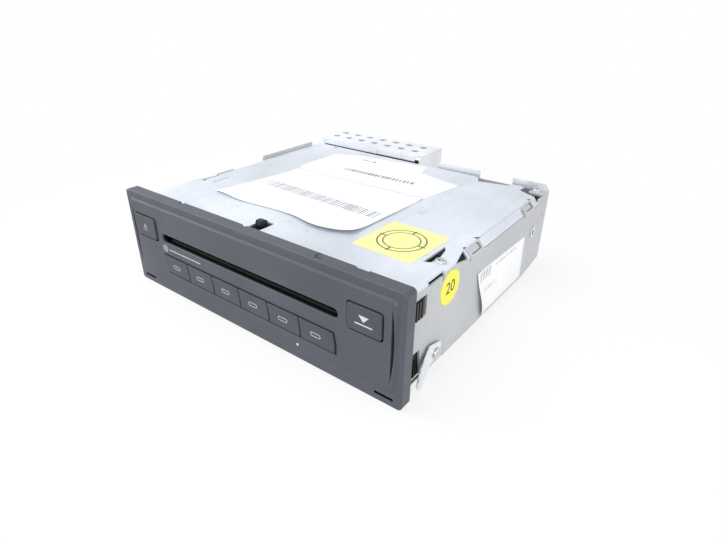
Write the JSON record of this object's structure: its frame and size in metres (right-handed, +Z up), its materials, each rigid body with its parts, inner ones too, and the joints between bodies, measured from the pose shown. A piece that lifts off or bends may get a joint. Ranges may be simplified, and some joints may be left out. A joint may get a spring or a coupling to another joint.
{
  "type": "in-dash disc changer",
  "caption": "Slot-loading in-dash disc changer: slim trim panel with push buttons, folded sheet-metal case, locking springs, rear hood, and loading, stacking and playing mechanism inside.",
  "frame": {"origin": "centre of the bounding box in plan, at the bottom edge of the trim panel", "axes": "+X to the right seen from the front, +Y from the front panel towards the back, +Z up"},
  "size_m": [0.186, 0.1926, 0.0563],
  "materials": {
    "bezel_plastic": "fine satin grain",
    "button_plastic": "fine satin grain",
    "felt": "short black pile",
    "lamp": "clear tinted",
    "board": "solder mask",
    "switch_plastic": "moulded",
    "case_steel": "zinc plated sheet",
    "cover_steel": "zinc plated sheet",
    "hood_steel": "zinc plated sheet",
    "connector_plastic": "moulded",
    "deck_steel": "zinc plated sheet",
    "damper_rubber": "soft matt",
    "belt_rubber": "soft matt",
    "guide_plastic": "moulded",
    "gear_plastic": "natural moulded",
    "motor_steel": "plated can",
    "screw_steel": "bright plated",
    "spring_steel": "plated spring strip",
    "tray_metal": "plain sheet",
    "sled_metal": "die cast",
    "lens_glass": "coated",
    "white_paper": "uncoated paper",
    "pale_sticker": "coated paper",
    "yellow_sticker": "coated paper"
  },
  "bodies": {
    "case": {"front_bezel": "bezel_plastic", "slot_felt": "felt", "status_lamp": "lamp", "button_board": "board", "tact_switches": "switch_plastic", "chassis": "case_steel", "top_cover": "cover_steel", "rear_panel": "case_steel", "connector_hood": "hood_steel", "main_connector": "connector_plastic", "main_board": "board", "mechanism_deck": "deck_steel", "rubber_dampers": "damper_rubber", "disc_guide": "guide_plastic", "loading_motor": "motor_steel", "loading_belt": "belt_rubber", "lift_motor": "motor_steel", "cover_screws": "screw_steel", "spring_rivets": "screw_steel", "front_paper_label": "white_paper", "rear_paper_label": "white_paper", "square_sticker": "pale_sticker", "round_sticker": "yellow_sticker", "side_label": "white_paper"},
    "eject_button": {"eject_button": "button_plastic"},
    "load_button": {"load_button": "button_plastic"},
    "disc_button_1": {"disc_button_1": "button_plastic"},
    "disc_button_2": {"disc_button_2": "button_plastic"},
    "disc_button_3": {"disc_button_3": "button_plastic"},
    "disc_button_4": {"disc_button_4": "button_plastic"},
    "disc_button_5": {"disc_button_5": "button_plastic"},
    "disc_button_6": {"disc_button_6": "button_plastic"},
    "spring_right": {"locking_spring_right": "spring_steel"},
    "spring_left": {"locking_spring_left": "spring_steel"},
    "lever": {"roller_lever": "deck_steel"},
    "roller": {"roller_shaft": "screw_steel", "rubber_rollers": "damper_rubber"},
    "drive_gear": {"drive_gear": "gear_plastic"},
    "motor_pulley": {"motor_pulley": "screw_steel"},
    "ring_gear": {"ring_gear": "gear_plastic"},
    "lift_post_1": {"lift_post_1": "gear_plastic"},
    "lift_post_2": {"lift_post_2": "gear_plastic"},
    "lift_post_3": {"lift_post_3": "gear_plastic"},
    "lift_pinion": {"lift_pinion": "gear_plastic"},
    "tray_stack": {"disc_tray_1": "tray_metal", "disc_tray_2": "tray_metal", "disc_tray_3": "tray_metal", "disc_tray_4": "tray_metal", "disc_tray_5": "tray_metal", "disc_tray_6": "tray_metal"},
    "swing_unit": {"swing_arm": "deck_steel", "guide_rails": "screw_steel", "spindle_motor": "motor_steel", "feed_motor": "motor_steel"},
    "turntable": {"turntable": "guide_plastic"},
    "clamp_arm": {"clamp_arm": "deck_steel"},
    "disc_clamp": {"disc_clamp": "guide_plastic"},
    "pickup": {"pickup_sled": "sled_metal", "objective_lens": "lens_glass"},
    "feed_screw": {"feed_screw": "screw_steel"}
  },
  "joints": [
    {"name": "eject_press", "type": "slide", "parent": "case", "child": "eject_button", "axis": [0, 1, 0], "range_m": [0, 0.0008], "stiffness_N_per_m": 600, "springref_m": -0.0006},
    {"name": "load_press", "type": "slide", "parent": "case", "child": "load_button", "axis": [0, 1, 0], "range_m": [0, 0.0008], "stiffness_N_per_m": 600, "springref_m": -0.0006},
    {"name": "disc_1_press", "type": "slide", "parent": "case", "child": "disc_button_1", "axis": [0, 1, 0], "range_m": [0, 0.0008], "stiffness_N_per_m": 600, "springref_m": -0.0006},
    {"name": "disc_2_press", "type": "slide", "parent": "case", "child": "disc_button_2", "axis": [0, 1, 0], "range_m": [0, 0.0008], "stiffness_N_per_m": 600, "springref_m": -0.0006},
    {"name": "disc_3_press", "type": "slide", "parent": "case", "child": "disc_button_3", "axis": [0, 1, 0], "range_m": [0, 0.0008], "stiffness_N_per_m": 600, "springref_m": -0.0006},
    {"name": "disc_4_press", "type": "slide", "parent": "case", "child": "disc_button_4", "axis": [0, 1, 0], "range_m": [0, 0.0008], "stiffness_N_per_m": 600, "springref_m": -0.0006},
    {"name": "disc_5_press", "type": "slide", "parent": "case", "child": "disc_button_5", "axis": [0, 1, 0], "range_m": [0, 0.0008], "stiffness_N_per_m": 600, "springref_m": -0.0006},
    {"name": "disc_6_press", "type": "slide", "parent": "case", "child": "disc_button_6", "axis": [0, 1, 0], "range_m": [0, 0.0008], "stiffness_N_per_m": 600, "springref_m": -0.0006},
    {"name": "spring_right_flex", "type": "hinge", "parent": "case", "child": "spring_right", "pos_m": [0.0908, -0.06395, 0.0109], "axis": [0, 0, -1], "range_deg": [0, 6], "stiffness_Nm_per_rad": 1.5, "springref_deg": -1.72},
    {"name": "spring_left_flex", "type": "hinge", "parent": "case", "child": "spring_left", "pos_m": [-0.0908, -0.06395, 0.0109], "axis": [0, 0, 1], "range_deg": [0, 6], "stiffness_Nm_per_rad": 1.5, "springref_deg": -1.72},
    {"name": "lever_tilt", "type": "hinge", "parent": "case", "child": "lever", "pos_m": [0, -0.07615, 0.02269], "axis": [1, 0, 0], "range_deg": [-8, 0], "stiffness_Nm_per_rad": 0.15, "springref_deg": 4.58},
    {"name": "roller_spin", "type": "hinge", "parent": "lever", "child": "roller", "pos_m": [0, -0.07015, 0.03005], "axis": [1, 0, 0], "continuous": true},
    {"name": "drive_gear_spin", "type": "hinge", "parent": "lever", "child": "drive_gear", "pos_m": [0.0657, -0.07615, 0.02269], "axis": [1, 0, 0], "continuous": true},
    {"name": "motor_spin", "type": "hinge", "parent": "case", "child": "motor_pulley", "pos_m": [0.0686, -0.06615, 0.0187], "axis": [1, 0, 0], "continuous": true},
    {"name": "ring_turn", "type": "hinge", "parent": "case", "child": "ring_gear", "pos_m": [0, -0.00565, 0.0096], "axis": [0, 0, 1], "range_deg": [0, 20.1]},
    {"name": "post_1_turn", "type": "hinge", "parent": "case", "child": "lift_post_1", "pos_m": [0.06593, -0.03925, 0.0122], "axis": [0, 0, 1], "range_deg": [-230, 0]},
    {"name": "post_2_turn", "type": "hinge", "parent": "case", "child": "lift_post_2", "pos_m": [0.04999, 0.04891, 0.0122], "axis": [0, 0, 1], "range_deg": [-230, 0]},
    {"name": "post_3_turn", "type": "hinge", "parent": "case", "child": "lift_post_3", "pos_m": [-0.04084, 0.05606, 0.0122], "axis": [0, 0, 1], "range_deg": [-230, 0]},
    {"name": "pinion_turn", "type": "hinge", "parent": "case", "child": "lift_pinion", "pos_m": [-0.04244, -0.06627, 0.0122], "axis": [0, 0, 1], "range_deg": [-230, 0]},
    {"name": "tray_lift", "type": "slide", "parent": "case", "child": "tray_stack", "axis": [0, 0, 1], "range_m": [0, 0.001]},
    {"name": "unit_swing", "type": "hinge", "parent": "case", "child": "swing_unit", "pos_m": [-0.075, 0.05435, 0.023], "axis": [0, 0, 1], "range_deg": [0, 51.34]},
    {"name": "turntable_spin", "type": "hinge", "parent": "swing_unit", "child": "turntable", "pos_m": [-0.075, -0.0417, 0.0345], "axis": [0, 0, 1], "continuous": true},
    {"name": "clamp_lift", "type": "hinge", "parent": "swing_unit", "child": "clamp_arm", "pos_m": [-0.075, 0.04035, 0.04], "axis": [-1, 0, 0], "range_deg": [0, 1], "stiffness_Nm_per_rad": 1, "springref_deg": -1.72},
    {"name": "clamp_spin", "type": "hinge", "parent": "clamp_arm", "child": "disc_clamp", "pos_m": [-0.075, -0.0417, 0.0394], "axis": [0, 0, 1], "continuous": true},
    {"name": "feed_turn", "type": "hinge", "parent": "swing_unit", "child": "feed_screw", "pos_m": [-0.0805, -0.0217, 0.028], "axis": [0, 1, 0], "range_deg": [0, 3065]},
    {"name": "sled_slide", "type": "slide", "parent": "swing_unit", "child": "pickup", "axis": [0, 1, 0], "range_m": [0, 0.034]}
  ],
  "couplings": [
    {"joint": "post_1_turn", "follows": "tray_lift", "rad_per_m": -3956.1},
    {"joint": "post_2_turn", "follows": "tray_lift", "rad_per_m": -3956.1},
    {"joint": "post_3_turn", "follows": "tray_lift", "rad_per_m": -3956.1},
    {"joint": "pinion_turn", "follows": "tray_lift", "rad_per_m": -3956.1},
    {"joint": "ring_turn", "follows": "tray_lift", "rad_per_m": 349.07},
    {"joint": "feed_turn", "follows": "sled_slide", "rad_per_m": 1570.8},
    {"joint": "drive_gear_spin", "follows": "roller_spin", "ratio": -0.9},
    {"joint": "motor_spin", "follows": "roller_spin", "ratio": -2.2909}
  ]
}
